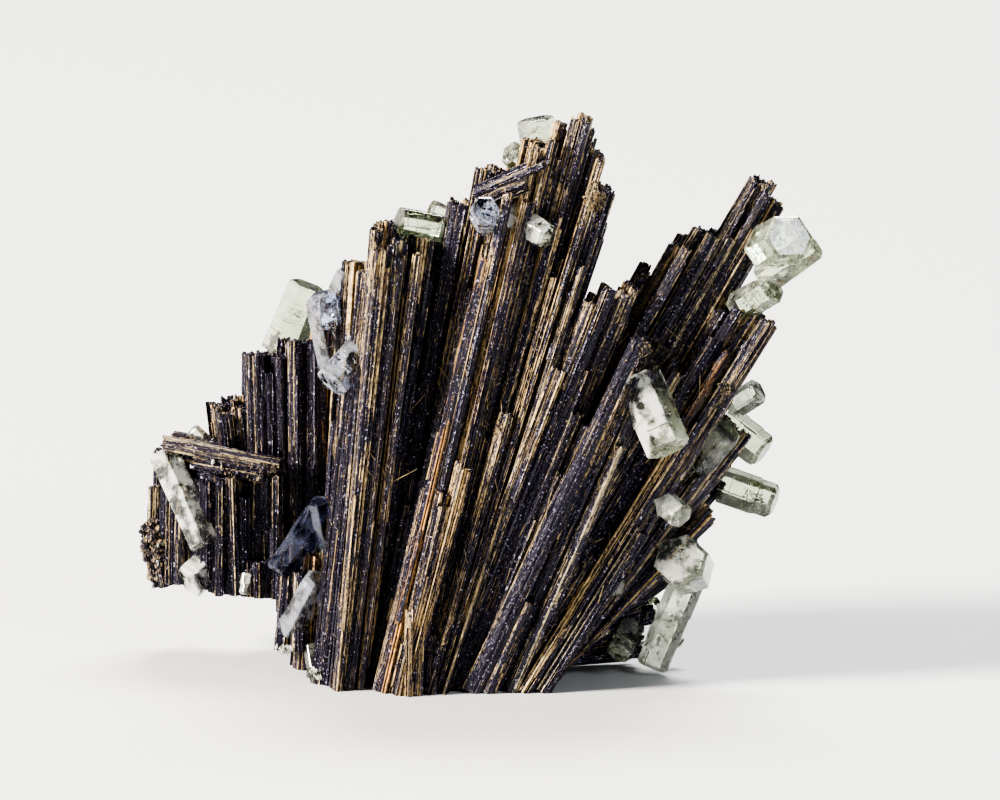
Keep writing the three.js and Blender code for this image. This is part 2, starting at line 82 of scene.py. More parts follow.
# name, foot, head, depth at foot, depth at head, rows, crown, step, tones
# A foot or head is its left and right edge as (across, up). crown is where each rod of the front row ends, and
# step is how much higher each row behind it ends. One letter of tones stands for one rod of the front row:
# g golden, b brown, o orange, d dark, k black, s grey.
SHEAVES = {
    "schorl_pillar": [
        ("left_pillar", [(-14.4, -1), (-11.6, -1)], [(-10.2, 46), (-5, 46)], (2, 13), (1, 15), 2,
         [45.8, 45, 44.8], -0.7, "gdg"),
        ("left_flank", [(-16.2, -1), (-14, -1)], [(-11.4, 41), (-9.6, 41)], (4, 14), (3, 12), 2,
         [41.4], -5.5, "g"),
    ],
    "schorl_fan": [
        # The recesses' black rods, tone k, are bare schorl, and their black is also painted shade deep in the
        # recess.
        ("dark_recess", [(-12.6, -1), (-9, -1)], [(-5.4, 46), (1.7, 46)], (4, 14), (5.5, 17), 2,
         [44.4, 48.8, 51.6], 0, "kkg"),
        ("bright_ridge", [(-10.4, -1), (-8, -1)], [(1.6, 50), (3.6, 50)], (0.6, 5), (1.6, 6), 1,
         [45.6, 50.4], 0, "gb"),
        ("middle_stub", [(-8.8, -1), (-6.9, -1)], [(-3.6, 20), (-0.7, 22.5)], (0.2, 4), (0, 4), 1,
         [19.6, 22.6], 0, "gg"),
        ("low_stub", [(-7.6, -1), (-4.4, -1)], [(-7.2, 9), (-4, 9)], (-0.4, 3), (0.2, 3.4), 1,
         [8.6, 9.3, 6.2], 0, "bgb"),
        # Black rods again: bare schorl, and painted shade deep in this recess.
        ("second_recess", [(-8.2, -1), (-5.8, -1)], [(3, 46), (7.2, 46)], (3.6, 14), (5.4, 17), 2,
         [47.8, 51.6], 0.6, "kk"),
    ],
    "schorl_peak": [
        ("peak", [(-7.6, -1), (-3.4, -1)], [(5.4, 56.5), (15.8, 56.5)], (1.2, 13), (3, 13), 2,
         [54.6, 56.2, 56.2, 53.4, 50], -1.6, "gbbbd"),
    ],
    "schorl_right": [
        ("right_shoulder", [(-5, -1), (-1, -1)], [(10.6, 40.5), (16, 40.5)], (1.4, 8), (0, 7), 2,
         [39.2, 40.3, 39.8], 0, "bdb"),
        ("front_bundle", [(-2, -1), (3, -1)], [(15, 35.5), (18.4, 34.6)], (0.8, 6), (-2.5, 3), 1,
         [35.6, 35, 32.6], 0, "dbs"),
        ("upper_right_arm", [(-8, -1), (1.5, -1)], [(20.4, 50), (31, 50)], (5, 13), (5, 14), 2,
         [41.2, 44.6, 45.2, 50.2, 48.6], 0.4, "dbssb"),
    ],
    "schorl_low_right": [
        ("right_flank", [(-1, -1), (6.2, -0.5)], [(22, 37.5), (29.6, 37)], (1.5, 11), (3, 12), 2,
         [36, 38, 37.8, 36.6], 0, "sdbs"),
        ("low_right_edge", [(5.8, 0.5), (8.6, 4.4)], [(25.4, 28.5), (22.4, 14.5)], (3, 11), (6, 15), 2,
         [26.6, 22.4, 18.4, 15], 0, "sdbd"),
        # Black rods: bare schorl, and painted shade where this root lies under the spray.
        ("low_right_root", [(4, 9), (6, 3)], [(20.5, 15), (16, 4)], (8, 14), (11, 16), 1,
         [12.8, 9.2, 5.7], 0, "kkk"),
    ],
    "schorl_left_back": [
        ("left_back", [(-22.5, 10.5), (-13, 5)], [(-23.4, 35), (-12, 36)], (16, 25), (19, 29), 2,
         [34.2, 35.2, 36.2], 0, "kdo"),
        ("far_left_step", [(-25, 14), (-22, 12)], [(-27, 29.3), (-23.5, 29.3)], (18, 25), (20, 27), 1,
         [29.3, 28.6], 0, "db"),
    ],
    "schorl_back": [
        ("back_left", [(-16, -1), (-10, -1)], [(-12.8, 43), (-7, 45)], (11, 21), (13, 26), 2,
         [42.8, 44.6], 0, "bd"),
        ("back_centre", [(-10, -1), (-2, -1)], [(-4, 44), (13, 44)], (11, 21), (14, 26), 2,
         [43, 46, 39.5], -2, "dbd"),
    ],
    "schorl_back_right": [
        ("back_right", [(-3, -1), (4, -1)], [(15, 42), (27, 40)], (9, 18), (11, 22), 2,
         [39, 41, 37], -3, "bdb"),
    ],
    "schorl_left": [
        ("left_block", [(-26.4, 9.8), (-18.8, 9.4)], [(-26.4, 21.6), (-18.8, 22.8)], (15.5, 23),
         (15.5, 24), 2, [21.2, 21.5, 22.6], 0.5, "dkk"),
        ("left_block_west", [(-32.6, 11.2), (-26.4, 10.6)], [(-32.4, 23.5), (-26.4, 21.8)], (19.5, 26),
         (19.5, 27), 1, [23.4, 22], 0, "dk"),
        ("left_block_lid", [(-21.6, 20.6), (-18.4, 22.8)], [(-32.6, 22.6), (-29.8, 25)], (16.6, 23),
         (19.4, 25), 1, [22.4, 24.4], 0, "kd"),
        ("far_left_knob", [(-32.8, 10.8), (-30.4, 10.6)], [(-34.2, 17.6), (-32, 17.6)], (20, 24), (20, 24), 1,
         [16.6], 0, "s"),
        ("lower_left", [(-19.2, 5.2), (-14.6, -0.5)], [(-19.2, 15), (-13, 17)], (8, 17), (9, 18), 2,
         [12.5, 14, 16.5], 2, "dbg"),
    ],
    "schorl_cross": [
        ("cross_crystal", [(-0.6, 50.3), (0.6, 48.6)], [(5.6, 53), (6.8, 50.8)], (4, 7.5), (2.4, 5.4), 1,
         [52.8, 50.9], 0, "ds"),
    ],
}
# How golden and how warm each tone's weathered faces are.
TONES = {
    "g": (0.2, 0.8), "b": (0.06, 0.7), "o": (0.25, 1.2), "d": (-0.2, 0.5), "s": (0.08, 0.25), "k": (-0.5, 0.5),
}


def placed(across, up, depth):
    """A point of the front elevation, at a real depth, in the specimen's frame and in mm."""
    height = (up - depth * math.sin(LOOK_DOWN)) / math.cos(LOOK_DOWN)
    return np.array([across - MIDDLE[0], depth - MIDDLE[1], height])


def mix(a, b, share):
    return a + (b - a) * share


def chance(seed, trait):
    """A number from 0 to 1 that is always the same for one rod and one of its traits."""
    value = math.sin(seed * 12.9898 + trait * 78.233) * 43758.5453
    return value - math.floor(value)


def in_sheaf(sheaf, across, deep, along):
    """A point of a sheaf, as shares of its width, its depth and its length."""
    foot, head, depth_at_foot, depth_at_head = sheaf[1:5]
    low = placed(*(mix(foot[0][k], foot[1][k], across) for k in (0, 1)), mix(*depth_at_foot, deep))
    high = placed(*(mix(head[0][k], head[1][k], across) for k in (0, 1)), mix(*depth_at_head, deep))
    return mix(low, high, along)


def end_share(sheaf, across, up):
    """The share of a sheaf's length at which it reaches this height."""
    low = mix(sheaf[1][0][1], sheaf[1][1][1], across)
    high = mix(sheaf[2][0][1], sheaf[2][1][1], across)
    return (up - low) / (high - low)


def room(sheaf, across, deep, along):
    """The width and thickness of one rod's share of a sheaf."""
    wide = np.linalg.norm(in_sheaf(sheaf, 1, deep, along) - in_sheaf(sheaf, 0, deep, along))
    thick = np.linalg.norm(in_sheaf(sheaf, across, 1, along) - in_sheaf(sheaf, across, 0, along))
    return np.array([wide / len(sheaf[6]), thick / sheaf[5]])


def ball():
    """A twenty-faced ball as points and faces, the start of every crumb."""
    shape = bmesh.new()
    bmesh.ops.create_icosphere(shape, subdivisions=1, radius=1)
    points = np.array([corner.co[:] for corner in shape.verts])
    faces = [[corner.index for corner in face.verts] for face in shape.faces]
    shape.free()
    return points, faces


BALL_POINTS, BALL_FACES = ball()


class Growth:
    """Collects many closed prisms and makes one mesh of them."""

    def __init__(self):
        self.points = []
        self.faces = []
        self.looks = {"gold": [], "warmth": [], "grain": []}
        self.count = 0

    def add(self, rings, golds, grains, warmth):
        """Joins rings of points and closes both ends."""
        sides = len(rings[0])
        index = np.arange(sides)
        after = (index + 1) % sides
        first = self.count
        everything = np.concatenate(rings)
        for r in range(len(rings) - 1):
            a = first + r * sides
            self.faces += np.stack([a + index, a + after, a + sides + after, a + sides + index], 1).tolist()
        self.faces.append((first + index[::-1]).tolist())
        cap = first + (len(rings) - 1) * sides
        centre = first + len(everything)
        self.faces += [[cap + i, cap + n, centre] for i, n in zip(index.tolist(), after.tolist())]
        middle = rings[-1].mean(0) + dice.uniform(-0.05, 0.05, 3)
        self.points += [everything, middle[None]]
        self.looks["gold"] += [np.concatenate(golds), golds[-1][:1]]
        self.looks["grain"] += [np.concatenate(grains), grains[-1][:1]]
        self.looks["warmth"].append(np.full(len(everything) + 1, warmth))
        self.count += len(everything) + 1

    def crumb(self, centre, size, gold, warmth):
        """A small angular lump."""
        points = BALL_POINTS * dice.uniform(0.6, 1.25, (len(BALL_POINTS), 1)) * dice.uniform(0.6, 1.3, 3) * size
        placed_points = centre + points
        placed_points[:, 2] = np.maximum(placed_points[:, 2], FLOOR_GAP)
        self.faces += [[self.count + corner for corner in face] for face in BALL_FACES]
        self.points.append(placed_points)
        self.looks["gold"].append(gold + dice.normal(0, 0.15, len(points)))
        self.looks["grain"].append(points * 2 + dice.uniform(0, 400, 3))
        self.looks["warmth"].append(np.full(len(points), warmth + dice.normal(0, 0.1)))
        self.count += len(points)

    def piece(self, name, material, slot="schorl"):
        """The finished mesh, which knows how golden and how warm each point is, and which way its grain runs."""
        mesh = bpy.data.meshes.new(name)
        points = np.concatenate(self.points) * MM
        mesh.from_pydata(points.tolist(), [], self.faces)
        for look in ("gold", "warmth"):
            values = mesh.attributes.new(look, "FLOAT", "POINT")
            values.data.foreach_set("value", np.concatenate(self.looks[look]).astype(np.float32))
        grain = mesh.attributes.new("grain", "FLOAT_VECTOR", "POINT")
        grain.data.foreach_set("vector", np.concatenate(self.looks["grain"]).astype(np.float32).ravel())
        mesh.materials.append(material)
        made = bpy.data.objects.new(name, mesh)
        bpy.context.scene.collection.objects.link(made)
        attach(made, "root")
        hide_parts("schorl_spray")
        return made


class Rod:
    """A tapered six-cornered prism: where it runs, its width and thickness at both ends, and its outline."""

    CLIMBING = 0.15  # a rod that rises less than this for its length lies down, and the ground doesn't cut it
    STEP = 0.04  # half the height of a worn step, in mm
    WANDER = 0.012  # how far a strip strays sideways at each step, as a share of the rod's width
    BROKEN = 0.12  # how uneven a snapped end is, in mm

    def __init__(self, start, stop, row, low, high, outline, gold, warmth):
        self.start = start
        self.length = float(np.linalg.norm(stop - start))
        self.axis = (stop - start) / self.length
        self.back = np.cross(self.axis, row)
        self.back /= np.linalg.norm(self.back)
        self.side = np.cross(self.back, self.axis)
        self.low, self.high = np.array(low), np.array(high)
        self.outline = outline
        self.gold, self.warmth = gold, warmth
        self.foot = max(0.0, (FLOOR_GAP - start[2]) / (stop[2] - start[2])) if stop[2] > start[2] else 0.0

    def ring(self, local, station, lift=0.0):
        flat = local * mix(self.low, self.high, station)
        along = station * self.length + lift
        points = (self.start + np.outer(np.broadcast_to(along, len(local)), self.axis)
                  + flat[:, :1] * self.side + flat[:, 1:] * self.back)
        if self.axis[2] > self.CLIMBING:
            # The ground cuts off what would reach below it.
            points -= np.outer(np.minimum(points[:, 2] - FLOOR_GAP, 0) / self.axis[2], self.axis)
        return points

    def strip(self, growth, local, end, gold, ridge_light_shade=0.0, foot=0.0, steps=2):
        """A closed section of the rod's outline, drawn along it, worn in steps and snapped off at its end."""
        foot = max(foot, self.foot)
        if end - foot < 0.02:
            return
        count = len(local)
        hair = self.STEP / self.length
        cuts = []
        if end - foot > 8 * hair:
            cuts = np.sort(dice.uniform(foot + 3 * hair, end - 3 * hair, dice.integers(0, steps + 1)))
        stations = [foot] + [cut + sign * hair for cut in cuts for sign in (-1, 1)] + [end]
        stretches = np.diff(stations)
        widest = int(stretches.argmax())
        if stretches[widest] * self.length > LONGEST:
            stations.insert(widest + 1, stations[widest] + stretches[widest] / 2)
        centre = local.mean(0)
        around = np.linalg.norm(np.diff(np.concatenate([local, local[:1]]), axis=0), axis=1).cumsum()
        around = around * (self.low[0] + self.high[0]) / 2
        offset = dice.uniform(0, 400, 2)
        worn = np.ones((count, 1))
        wander = np.zeros(2)
        rings, golds, grains = [], [], []
        for number, station in enumerate(stations):
            if 0 < number < len(stations) - 1:
                if station - stations[number - 1] < 3 * hair:
                    # A growth step: six corners in ten lose 6 to 34 % of their reach, down to half of it.
                    hit = dice.random((count, 1)) < 0.6
                    worn = np.where(hit, np.maximum(worn - dice.uniform(0.06, 0.34), 0.5), worn)
                wander = wander * 0.6 + dice.normal(0, self.WANDER, 2)
            shape = centre + (local - centre) * worn + wander
            lift = 0.0
            if number == len(stations) - 1:
                lift = dice.uniform(-self.BROKEN, self.BROKEN, count)
            rings.append(self.ring(shape, station, lift))
            along = np.broadcast_to(station * self.length + lift, count)
            grains.append(np.stack([around + offset[0], np.full(count, offset[1]), along], 1))
            # The last 3 mm below a top are the most weathered.
            weathered = 0.3 * math.exp(-(1 - station) * self.length / 3)
            # ridge_light_shade adds the painted highlight on a ridge's crest and the painted shade in its
            # grooves.
            golds.append(np.full(count, gold + weathered + dice.normal(0, 0.08)) + ridge_light_shade)
        growth.add(rings, golds, grains, self.warmth + dice.normal(0, 0.08))

    def small_section(self, radius, size):
        """An uneven six-cornered section of this radius in mm, where the rod has this width and thickness."""
        turns = (np.arange(6) + dice.uniform(-0.3, 0.3, 6)) * math.pi / 3 + dice.uniform(0, 6.28)
        radii = radius * dice.uniform(0.75, 1.1, 6)
        return np.stack([np.cos(turns) * radii / size[0], np.sin(turns) * radii / size[1]], 1)


class Solids:
    """A set of rods that answers which points lie inside any of them."""

    def __init__(self, rods):
        self.count = len(rods)
        if rods:
            for trait in ("start", "axis", "side", "back", "low", "high", "length", "outline"):
                setattr(self, trait, np.array([getattr(rod, trait) for rod in rods]))
            self.edge = np.roll(self.outline, -1, axis=1) - self.outline

    def hold(self, points, depth):
        """Which points lie inside a rod, at least this many mm below its surface."""
        if not self.count:
            return np.zeros(len(points), bool)
        away = points[:, None] - self.start
        station = np.einsum("pri,ri->pr", away, self.axis) / self.length
        size = self.low + (self.high - self.low) * station[..., None]
        local = np.stack([np.einsum("pri,ri->pr", away, way) for way in (self.side, self.back)], 2)
        local /= np.maximum(size - 2 * depth, 0.05)
        inside = (station > 0) & (station < 1 - max(depth, 0.1) / self.length)
        turn = (self.edge[..., 0] * (local[:, :, None, 1] - self.outline[..., 1])
                - self.edge[..., 1] * (local[:, :, None, 0] - self.outline[..., 0]))
        return (inside & (turn > 0).all(2)).any(1)


def crystal_outline():
    """An uneven hexagon one unit across."""
    turns = (np.arange(6) + dice.uniform(-0.25, 0.25, 6)) * math.pi / 3 + dice.uniform(0, 6.28)
    radii = 0.5 * dice.uniform(0.85, 1.1, 6)
    return np.stack([np.cos(turns) * radii, np.sin(turns) * radii], 1)


ROW_PITCH = 0.9  # distance between rows of crystals, as a share of the distance within a row
STRAY = 0.3  # how far a crystal may stand off its place in the row, as a share of that distance
GIRTH = (0.85, 1.6)  # thinnest and thickest crystal of a bundle, as a share of the usual width
# Crystals in front (True) and behind: the share that ends short of the rod, and of those the share far short.
SNAPPED = {True: 0.72, False: 0.45}
SNAPPED_LOW = {True: 0.6, False: 0.4}
LOW_BREAK = (5, 34)  # how far below the rod's end such a crystal is snapped off, in mm
HIGH_BREAK = (0.4, 5)


def bundle(rod, coarse):
    """The finer crystals that fill a rod."""
    usual = CRYSTAL * coarse
    steps = usual / rod.high
    wide, deep = np.abs(rod.outline).max(0)
    spots = []
    for row, y in enumerate(np.arange(-deep, deep + steps[1], steps[1] * ROW_PITCH)):
        for x in np.arange(-wide + (row % 2) * steps[0] / 2, wide + steps[0], steps[0]):
            spot = np.array([x, y]) + dice.uniform(-STRAY, STRAY, 2) * steps
            spots.append(spot * [1, dice.uniform(0.95, 1.2) if y < 0 else 1])
    middles = np.concatenate([rod.ring(spot[None], 0.5) for spot in spots])
    held = Solids([rod]).hold(middles, 0.22 * usual)
    spots = [spot for spot, kept in zip(spots, held) if kept] or [np.zeros(2)]
    made = []
    for spot in spots:
        drop = dice.normal(0, 0.3)
        in_front = bool(spot[1] < 0)
        if dice.random() < SNAPPED[in_front] and rod.length > 12:
            low = dice.random() < SNAPPED_LOW[in_front]
            drop = -dice.uniform(*(LOW_BREAK if low else HIGH_BREAK))
        start = rod.ring(spot[None], 0)[0]
        if rod.start[2] < 0:
            start = rod.start + rod.side * (spot * rod.low)[0] + rod.back * (spot * rod.low)[1]
        stop = rod.ring(spot[None], max(1 + min(drop, 0.5) / rod.length, 0.3))[0]
        start = start + rod.side * dice.normal(0, 0.15) + rod.back * dice.normal(0, 0.15)
        girth = dice.uniform(*GIRTH) * usual
        made.append(Rod(start, stop, rod.side, girth * rod.low / rod.high, [girth, girth], crystal_outline(),
                        rod.gold + dice.normal(0, 0.14), rod.warmth + dice.normal(0, 0.1)))
    return made


IN_CRYSTAL, IN_ROD = 0.06, 0.35  # how deep in a neighbouring crystal or rod a ridge is left out, in mm
RIDGE_HEIGHT = (0.3, 0.8)  # as a share of the ridge's width
ENDS_EARLY = 0.36  # share of the ridges that end below the crystal's top
RIDGE_GOLD = 0.38  # how much neighbouring ridges differ in how golden they are


def dress(crystal, siblings, others, growth, coarse):
    """Gives a crystal its ridges wherever they aren't buried in the crystals and rods round it."""
    width = crystal.high.mean()
    stations = np.linspace(max(crystal.foot, 0.02), 0.98, 9)
    probes, ridges = [], []
    for corner in range(6):
        a, b = crystal.outline[corner], crystal.outline[(corner + 1) % 6]
        outward = np.array([b[1] - a[1], a[0] - b[0]])
        outward /= np.linalg.norm(outward)
        count = max(1, round(np.linalg.norm(b - a) * width / STRIP / coarse))
        edges = np.concatenate([[0], np.cumsum(dice.uniform(0.4, 1.6, count))])
        edges /= edges[-1]
        for k in range(count):
            middle = mix(a, b, (edges[k] + edges[k + 1]) / 2) + outward * 0.06 / width
            probes += [crystal.ring(middle[None], station) for station in stations]
            ridges.append((a, b, outward, edges[k] - 0.03, edges[k + 1] + 0.03))
    probes = np.concatenate(probes)
    buried = siblings.hold(probes, IN_CRYSTAL) | others.hold(probes, IN_ROD)
    if buried.all():
        return
    for ridge, hidden in zip(ridges, buried.reshape(len(ridges), len(stations))):
        a, b, outward, t0, t1 = ridge
        if hidden.all():
            continue
        # The ridge runs only as far as it shows, and one station into its neighbours at both ends.
        shown = np.flatnonzero(~hidden)
        foot = stations[shown[0] - 1] if shown[0] > 0 else 0
        top = stations[shown[-1] + 1] if shown[-1] < len(stations) - 1 else 2
        wide = np.linalg.norm(b - a) * (t1 - t0) * width
        height = wide * dice.uniform(*RIDGE_HEIGHT)
        shoulder = dice.uniform(0.25, 0.45)
        shares = np.array([t0, mix(t0, t1, shoulder), mix(t0, t1, shoulder + dice.uniform(0.08, 0.3)), t1])
        rise = (np.array([-0.5, 0.5, 0.4, -0.5]) * height + dice.normal(0, 0.05)) / width
        outer = mix(a, b, shares[:, None]) + rise[:, None] * outward
        inner = mix(a, b, np.array([t1, t0])[:, None]) * 0.7
        end = 1 + dice.normal(0, 0.1) / crystal.length
        if dice.random() < ENDS_EARLY:
            end = dice.uniform(0.2, 0.98)
        gold = crystal.gold + dice.normal(0, RIDGE_GOLD)
        crystal.strip(growth, np.concatenate([outer, inner]), min(end, top), gold, RIDGE_LIGHT_SHADE, foot=foot)
        # Splinters lie along the face, up to 16 mm long, half sunk in it.
        for _ in range(dice.poisson(wide * crystal.length * SPLINTERS)):
            spot = mix(a, b, dice.uniform(t0, t1)) + outward * dice.uniform(-0.1, 0.08) / width
            end = dice.uniform(0.08, 0.98)
            local = spot + crystal.small_section(dice.uniform(0.08, 0.26), mix(crystal.low, crystal.high, end))
            reach = dice.uniform(1, 16) / crystal.length
            crystal.strip(growth, local, end, crystal.gold + dice.normal(0.15, 0.2), foot=end - reach)
    # The core fills the room between the ridges, and two short stumps stand in its broken top.
    crystal.strip(growth, crystal.outline * 0.86, 1 - dice.uniform(0.02, 0.2) / crystal.length,
                  crystal.gold - 0.1, steps=1)
    for _ in range(2):
        spot = crystal.outline[dice.integers(6)] * dice.uniform(0, 0.6)
        local = spot + crystal.small_section(dice.uniform(0.15, 0.35), crystal.high)
        end = 1 + dice.normal(0, 0.1) / crystal.length
        crystal.strip(growth, local, end, crystal.gold, foot=end - 1.5 / crystal.length, steps=0)


def rods_of(sheaf, number):
    """The rods of a sheaf, row behind row, each with its own end, outline and tone."""
    rows, crown, step, tones = sheaf[5:]
    columns = len(crown)
    made = []
    for row in range(rows):
        for column in range(columns):
            seed = number * 100 + row * 20 + column
            across, deep = (column + 0.5) / columns, (row + 0.5) / rows
            start = in_sheaf(sheaf, across, deep, 0)
            head = in_sheaf(sheaf, across, deep, 1)
            jitter = 0.5 * (2 * chance(seed, 9) - 1) / np.linalg.norm(head - start)
            end = end_share(sheaf, across, crown[column] + step * row) + jitter
            turns = (np.arange(6) + 0.5 + 0.3 * np.array([chance(seed, corner) for corner in range(6)]))
            bulges = np.where(np.arange(6) % 2 == 0, 0.52, 0.45)
            outline = np.stack([np.cos(turns * math.pi / 3) * bulges, np.sin(turns * math.pi / 3) * bulges], 1)
            gold, warmth = TONES[tones[column] if row == 0 else dice.choice(list("ddkbg"))]
            row_direction = in_sheaf(sheaf, 1, deep, end) - in_sheaf(sheaf, 0, deep, end)
            made.append(Rod(start, in_sheaf(sheaf, across, deep, end), row_direction,
                            room(sheaf, across, deep, 0) * GROWN_TOGETHER,
                            room(sheaf, across, deep, end) * GROWN_TOGETHER, outline, gold, warmth))
    return made


class Finish:
    """One procedural material, and the few kinds of step that its colour, gloss and relief are made with."""

    def __init__(self, name, gloss):
        self.material = bpy.data.materials.new(name)
        self.material.use_nodes = True
        self.nodes = self.material.node_tree.nodes
        self.links = self.material.node_tree.links
        self.shader = self.nodes["Principled BSDF"]
        for socket, value in gloss.items():
            self.shader.inputs[socket].default_value = value

    def feed(self, socket, value):
        if isinstance(value, bpy.types.NodeSocket):
            self.links.new(value, socket)
        else:
            socket.default_value = value

    def maths(self, operation, a, b):
        made = self.nodes.new("ShaderNodeMath")
        made.operation = operation
        self.feed(made.inputs[0], a)
        self.feed(made.inputs[1], b)
        return made.outputs[0]

    def add(self, *amounts):
        total = amounts[0]
        for amount in amounts[1:]:
            total = self.maths("ADD", total, amount)
        return total

    def blend(self, share, a, b):
        made = self.nodes.new("ShaderNodeMix")
        made.data_type = "RGBA"
        self.feed(made.inputs[0], share)
        self.feed(made.inputs[6], a)
        self.feed(made.inputs[7], b)
        return made.outputs[2]

    def between(self, value, low, high, to_low=0.0, to_high=1.0):
        made = self.nodes.new("ShaderNodeMapRange")
        made.interpolation_type = "SMOOTHSTEP"
        limits = {"From Min": low, "From Max": high, "To Min": to_low, "To Max": to_high}
        for socket, limit in limits.items():
            made.inputs[socket].default_value = limit
        self.links.new(value, made.inputs["Value"])
        return made.outputs["Result"]

    def attribute(self, name):
        made = self.nodes.new("ShaderNodeAttribute")
        made.attribute_name = name
        return made

    def place(self):
        return self.nodes.new("ShaderNodeTexCoord").outputs["Object"]

    def noise(self, vector, scale, detail, roughness=0.6):
        made = self.nodes.new("ShaderNodeTexNoise")
        made.inputs["Scale"].default_value = scale
        made.inputs["Detail"].default_value = detail
        made.inputs["Roughness"].default_value = roughness
        self.links.new(vector, made.inputs["Vector"])
        return made.outputs["Fac"]

    def facing(self, direction):
        """How far a face turns towards a fixed direction of the specimen."""
        made = self.nodes.new("ShaderNodeVectorMath")
        made.operation = "DOT_PRODUCT"
        made.inputs[1].default_value = direction
        self.links.new(self.nodes.new("ShaderNodeNewGeometry").outputs["True Normal"], made.inputs[0])
        return made.outputs["Value"]

    def relief(self, height, strength, depth):
        made = self.nodes.new("ShaderNodeBump")
        made.inputs["Strength"].default_value = strength
        made.inputs["Distance"].default_value = depth * MM
        self.links.new(height, made.inputs["Height"])
        self.links.new(made.outputs[0], self.shader.inputs["Normal"])


# Dark and light end of each colour of a schorl face: bare schorl, and its three weathered skins.
# Bare schorl's violet tint is a painted sheen, for the cool light that its glossy faces reflect.
BLACK = ((0.002, 0.0015, 0.005, 1), (0.02, 0.014, 0.036, 1))
TAN = ((0.05, 0.026, 0.01, 1), (0.86, 0.62, 0.29, 1))
GREY = ((0.026, 0.021, 0.012, 1), (0.56, 0.47, 0.28, 1))
ORANGE = ((0.07, 0.025, 0.006, 1), (0.72, 0.36, 0.1, 1))
PAINTED_GLINT = (0.5, 0.46, 0.62, 1)  # painted glints: tiny bright specks on bare schorl
LIT_WEATHER_SIDE = (-0.86, -0.2, 0.3)  # side turned to the key lamp: more weathered, and painted lighter
SKIN_AND_LIGHT = (0.5, 0.93)  # from bare schorl to full weathered skin, with its painted light


def schorl_finish():
    made = Finish("striated_schorl", {
        "IOR": 1.64, "Specular Tint": (0.9, 0.88, 1.0, 1), "Specular IOR Level": 0.36})
    grain = made.attribute("grain").outputs["Vector"]
    gold = made.attribute("gold").outputs["Fac"]
    warmth = made.attribute("warmth").outputs["Fac"]

    def streaks(across, along, detail):
        """Streaks that run along the crystal, with this many to the mm across it and along it."""
        stretch = made.nodes.new("ShaderNodeMapping")
        stretch.inputs["Scale"].default_value = (across, 1, along)
        made.links.new(grain, stretch.inputs["Vector"])
        return made.maths("SUBTRACT", made.noise(stretch.outputs[0], 1.0, detail, 0.65), 0.5)

    patches = streaks(0.9, 0.2, 2)
    areas = made.maths("SUBTRACT", made.noise(made.place(), 170, 2, 0.5), 0.5)
    lines = streaks(5.5, 0.4, 4)
    hairs = streaks(9, 0.8, 3)
    specks = streaks(5, 3, 3)
    glint_specks = streaks(7, 3, 1)
    # Faces turned to the key lamp get more golden skin: partly weathering, partly painted light.
    lit_weather_side = made.maths("MAXIMUM", made.facing(LIT_WEATHER_SIDE), -0.2)
    shares = ((lit_weather_side, 0.5), (patches, 0.8), (areas, 1.3), (lines, 3.6), (specks, 1.5))
    weathering_and_light = made.add(gold, *(made.maths("MULTIPLY", cause, share) for cause, share in shares))
    skin_and_light = made.between(weathering_and_light, *SKIN_AND_LIGHT)
    bare = made.blend(made.between(hairs, -0.15, 0.15), *BLACK)
    # Painted glints: tiny bright specks mixed into bare schorl's colour.
    bare = made.blend(made.between(glint_specks, 0.16, 0.22), bare, PAINTED_GLINT)
    shade = made.between(made.add(hairs, made.maths("MULTIPLY", specks, 0.5)), -0.22, 0.24)
    tan, grey, orange = (made.blend(shade, *pair) for pair in (TAN, GREY, ORANGE))
    weathered = made.blend(made.between(warmth, 0, 0.8), grey, tan)
    weathered = made.blend(made.between(warmth, 0.8, 1.2), weathered, orange)
    made.feed(made.shader.inputs["Base Color"], made.blend(skin_and_light, bare, weathered))
    made.feed(made.shader.inputs["Roughness"], made.between(skin_and_light, 0, 1, 0.2, 0.48))
    made.relief(made.add(hairs, lines, specks), 0.9, 0.18)
    return made.material


schorl = schorl_finish()
rods = {name: [] for name in SHEAVES}
every_sheaf = [(name, sheaf) for name, sheaves in SHEAVES.items() for sheaf in sheaves]
for number, (name, sheaf) in enumerate(every_sheaf):
    rods[name] += rods_of(sheaf, number)
every_rod = [rod for group in rods.values() for rod in group]
front_points, front_faces = [], []
for name, group in rods.items():
    growth = Growth()
    coarse = COARSE_BACK if name.startswith("schorl_back") else 1
    for rod in group:
        others = Solids([other for other in every_rod if other is not rod])
        if name == "schorl_cross":
            rod.start = rod.start - np.array([0, LAID_ON, 0])
        crystals = bundle(rod, coarse)
        for crystal in crystals:
            siblings = Solids([other for other in crystals if other is not crystal])
            dress(crystal, siblings, others, growth, coarse)
    growth.piece(name, schorl)
    if not name.startswith("schorl_back"):
        first = sum(map(len, front_points))
        front_faces += [[first + corner for corner in face] for face in growth.faces]
        front_points.append(np.concatenate(growth.points))


# ---- Crumbs and needles ----
# Broken bits of schorl and small late grains, grown fast or stuck by iron stain in the hollows and on
# snapped-off tops, with a few loose hair-thin needles of the same schorl that lean across the others.

